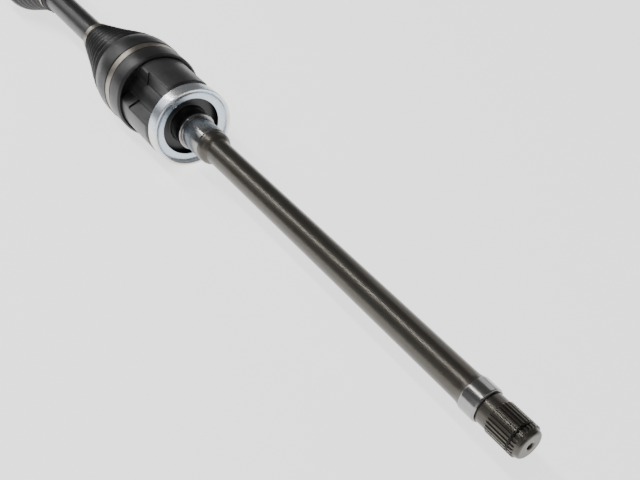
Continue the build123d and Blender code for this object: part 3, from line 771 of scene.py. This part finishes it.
BAND_LOW, BAND_HIGH = span("inner_boot_band_large")
COLLAR_R = (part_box("inner_boot_band_large")[1].y) - BAND_T + SEAT_DEPTH
BOOT_START, BOOT_END = span("inner_boot")
SMALL_R = BAR_R + 0.3 * MM + WALL
COLLAR_END = MOUTH + 4 * MM
SPLIT = COLLAR_END + 40 * MM
SPLIT_R = COLLAR_R - 10.5 * MM
seat_r = COLLAR_R - SEAT_DEPTH
collar = rounded([
    (BOOT_START, COLLAR_R - 2.0 * MM, 0), (BOOT_START + 2.0 * MM, COLLAR_R, 1.4 * MM),
    (BAND_LOW - EDGE, COLLAR_R, EDGE), (BAND_LOW - 0.1 * MM, seat_r, 0.3 * MM),
    (BAND_HIGH + 0.1 * MM, seat_r, 0.3 * MM), (BAND_HIGH + EDGE, COLLAR_R + EDGE, EDGE),
    (COLLAR_END - 8 * MM, COLLAR_R + EDGE, 5 * MM), (COLLAR_END + 2 * MM, COLLAR_R - EDGE, 0),
], 5)
lead = folds(COLLAR_END + 2 * MM, SPLIT, COLLAR_R - EDGE, SPLIT_R, 3, FOLD_DEPTH, 1.25)
tail = folds(SPLIT, BOOT_END - SMALL_COLLAR, SPLIT_R, SMALL_R + 5 * MM, 5, 4.6 * MM, 0.95)
tail += rounded([
    (BOOT_END - 17 * MM, SMALL_R + 3 * MM, 0), (BOOT_END - NECK, SMALL_R + 0.5 * MM, 1.5 * MM),
    (BOOT_END - EDGE, SMALL_R + 0.2 * MM, EDGE), (BOOT_END, SMALL_R - EDGE, 0),
], 4)
front_boot = boot_wall("inner_boot_collar", collar + lead[1:])
rear_boot = boot_wall("inner_boot_folds", tail)
print("inner boot", round((BOOT_END - BOOT_START) / MM), "mm long")

# %% Boot finishes
for piece in (front_boot, rear_boot):
    dress(piece, "boot_rubber")
    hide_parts("inner_boot")
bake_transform(front_boot)
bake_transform(rear_boot)

OUT_SMALL, OUT_LARGE = span("outer_boot")
BELL_BAND_LOW, BELL_BAND_HIGH = span("outer_boot_band_large")
BELL_MOUTH = span("outer_bell")[0]
OUT_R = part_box("outer_boot_band_large")[1].y - BAND_T
OUT_FOLDS_START = BELL_MOUTH - 12 * MM
outer_outline = rounded([
    (OUT_LARGE, OUT_R - 1.2 * MM, 0), (OUT_LARGE - EDGE, OUT_R + 0.2 * MM, EDGE),
    (BELL_BAND_HIGH + 0.5 * MM, OUT_R + 0.4 * MM, 0.4 * MM),
    (BELL_BAND_HIGH, OUT_R - 0.1 * MM, 0.3 * MM), (BELL_BAND_LOW, OUT_R - 0.1 * MM, 0.3 * MM),
    (BELL_BAND_LOW - 0.6 * MM, OUT_R + EDGE, 0.6 * MM),
    (BELL_MOUTH - 6 * MM, OUT_R + EDGE, 4 * MM), (OUT_FOLDS_START, OUT_R - 1.5 * MM, 0),
], 5)
outer_outline += folds(
    OUT_FOLDS_START, OUT_SMALL + SMALL_COLLAR, OUT_R - 1.5 * MM, SMALL_R + 4 * MM,
    5, FOLD_DEPTH)[1:]
outer_outline += rounded([
    (OUT_SMALL + 17 * MM, SMALL_R + 2.4 * MM, 0), (OUT_SMALL + NECK, SMALL_R + 0.5 * MM, 1.5 * MM),
    (OUT_SMALL + EDGE, SMALL_R + 0.2 * MM, EDGE), (OUT_SMALL, SMALL_R - EDGE, 0),
], 4)
outer_boot = boot_wall("outer_boot_folds", outer_outline)
dress(outer_boot, "boot_rubber")
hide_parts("outer_boot")
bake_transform(outer_boot)
print("outer boot", round((OUT_LARGE - OUT_SMALL) / MM), "mm long")


# %% [markdown]
# The clamp bands
#
# A clamp band is a strip of steel wrapped once round the boot and drawn tight by
# pinching its ear. Its edges are slightly turned up so they don't cut the rubber. The
# strip is turned like the dust ring. The ear starts as a box that is squeezed at the
# waist, with bevelled edges.

# %% Clamp bands
EAR_TURN = radians(11.2)
EAR_SHARE = 0.86
EAR_WIDE = 6.0 * MM
EAR_TALL = 3.2 * MM
EAR_WAIST = 0.62
LIP = 0.35 * MM
LIP_T = 0.5 * MM
MIDDLE_T = BAND_T * 0.8


def clamp_ear(x_from, x_to, r):
    """A pinched ear standing on a band of radius r, on the axle's underside."""
    width = (x_to - x_from) * EAR_SHARE
    bpy.ops.object.select_all(action="DESELECT")
    middle = (x_from + x_to) / 2
    bpy.ops.mesh.primitive_cube_add(size=1, location=(middle, 0, -(r + BAND_T)))
    ear = bpy.context.object
    bpy.ops.transform.resize(value=(width, EAR_WIDE, EAR_TALL))
    bpy.ops.object.transform_apply(location=True, rotation=True, scale=True)
    bpy.ops.object.mode_set(mode="EDIT")
    bpy.ops.mesh.select_all(action="SELECT")
    bpy.ops.mesh.subdivide(number_cuts=3)
    bpy.ops.mesh.select_all(action="DESELECT")
    bpy.ops.object.mode_set(mode="OBJECT")
    for v in ear.data.vertices:
        v.select = abs(v.co.z + r + BAND_T) < 0.5 * MM
    bpy.ops.object.mode_set(mode="EDIT")
    bpy.ops.transform.resize(value=(1, EAR_WAIST, 1), center_override=(0, 0, 0))
    bpy.ops.object.mode_set(mode="OBJECT")
    bevel = ear.modifiers.new("edges", "BEVEL")
    bevel.width = 0.5 * MM
    bevel.segments = 2
    alone(ear)
    bpy.ops.object.modifier_apply(modifier=bevel.name)
    return ear


def clamp_band(node, body):
    """Strip and ear of one clamp, in place of its plain node."""
    x_from, x_to = span(node)
    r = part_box(node)[1].y - BAND_T
    strip = closed_ring(node + "_strip", rounded([
        (x_from + BAND_T, r, 0), (x_from, r + LIP, 0.3 * MM), (x_from, r + LIP + LIP_T, 0.3 * MM),
        (x_from + BAND_T, r + MIDDLE_T, 0.4 * MM), (x_to - BAND_T, r + MIDDLE_T, 0.4 * MM),
        (x_to, r + LIP + LIP_T, 0.3 * MM), (x_to, r + LIP, 0.3 * MM), (x_to - BAND_T, r, 0),
    ], 3))
    ear = clamp_ear(x_from, x_to, r)
    alone(ear)
    bpy.ops.object.mode_set(mode="EDIT")
    bpy.ops.mesh.select_all(action="SELECT")
    bpy.ops.transform.rotate(value=-EAR_TURN, orient_axis="X", center_override=(0, 0, 0))
    bpy.ops.object.mode_set(mode="OBJECT")
    alone(strip)
    ear.select_set(True)
    bpy.ops.object.join()
    dress(strip, "stainless_band")
    smooth(strip, 35)
    return placed(strip, body, "stainless_band", node)


clamp_band("inner_boot_band_large", "housing")
clamp_band("inner_boot_band_small", "bar")
clamp_band("outer_boot_band_large", "bell")
clamp_band("outer_boot_band_small", "bar")


# %% [markdown]
# Floor, light and camera
#
# The axle lies over a plain pale floor that glows a little. One long narrow light
# overhead, turned along the axle, gives the streak that runs down the shaft. Four weak
# soft lights fill the left, the two ends and the back, and the surround is dim, so the
# black parts stay black. The camera is near the splined end and looks back along the
# axle, with a normal lens.

# %% Floor
FLOOR_SIZE = 60
FLOOR_GLOW = 1.6
floor_z = cad_low[2] - 0.5 * MM
bpy.ops.object.select_all(action="DESELECT")
bpy.ops.mesh.primitive_plane_add(size=FLOOR_SIZE, location=(0.5, 0, floor_z))
floor = bpy.context.object
floor.name = "floor"
paper = Finish("white floor")
tone = paper.noise(3, 2, 0.5)
pale, paler = (0.80, 0.80, 0.80), (0.84, 0.84, 0.84)
paper.set(Base_Color=paper.blend_colour(tone, pale, paler), Roughness=0.9)
paper.set(Emission_Color=(1, 1, 1, 1), Emission_Strength=FLOOR_GLOW)
floor.data.materials.append(paper.material)
print("floor at", round(floor_z / MM, 1), "mm")


# %% Light
WORLD_STRENGTH = 0.16


def soft_light(name, place, target, size, watts):
    """A square area light at place that faces target."""
    bpy.ops.object.light_add(type="AREA", location=place)
    light = bpy.context.object
    light.name = name
    light.data.size = size
    light.data.energy = watts
    light.rotation_euler = (Vector(target) - Vector(place)).to_track_quat("-Z", "Y").to_euler()
    return light


strip = soft_light("strip", (1.2, 0.42, 1.2), (0.9, 0, 0), 0.07, 16)
strip.data.shape = "RECTANGLE"
strip.data.size_y = 2.8
strip.rotation_euler = (0, 0, pi / 2)
for name, place, target, size, watts in (
        ("left", (0.1, 1.7, 0.55), (0.25, 0, 0), 1.3, 4),
        ("end", (-1.4, -0.2, 0.9), (0.0, 0, 0), 0.6, 2),
        ("behind", (0.9, -1.7, 0.8), (0.6, 0, 0), 1.2, 5),
        ("wheel", (2.3, 0.6, 0.9), (0.9, 0, 0), 0.9, 5)):
    soft_light(name, place, target, size, watts)
world = bpy.data.worlds.new("studio")
world.use_nodes = True
background = world.node_tree.nodes["Background"]
background.inputs["Color"].default_value = (1, 1, 1, 1)
background.inputs["Strength"].default_value = WORLD_STRENGTH
bpy.context.scene.world = world

# %% Camera
CAMERA_PLACE = (-0.175, 0.2864, 0.4359)
CAMERA_AIM = Vector((0.6263, -0.4340, -0.6476))
bpy.ops.object.camera_add(location=CAMERA_PLACE)
camera = bpy.context.object
camera.data.lens = 45
camera.data.sensor_width = 36
camera.data.clip_start = 0.01
camera.rotation_euler = CAMERA_AIM.to_track_quat("-Z", "Y").to_euler()
bpy.context.scene.camera = camera
print("camera at", tuple(round(c, 3) for c in camera.location))
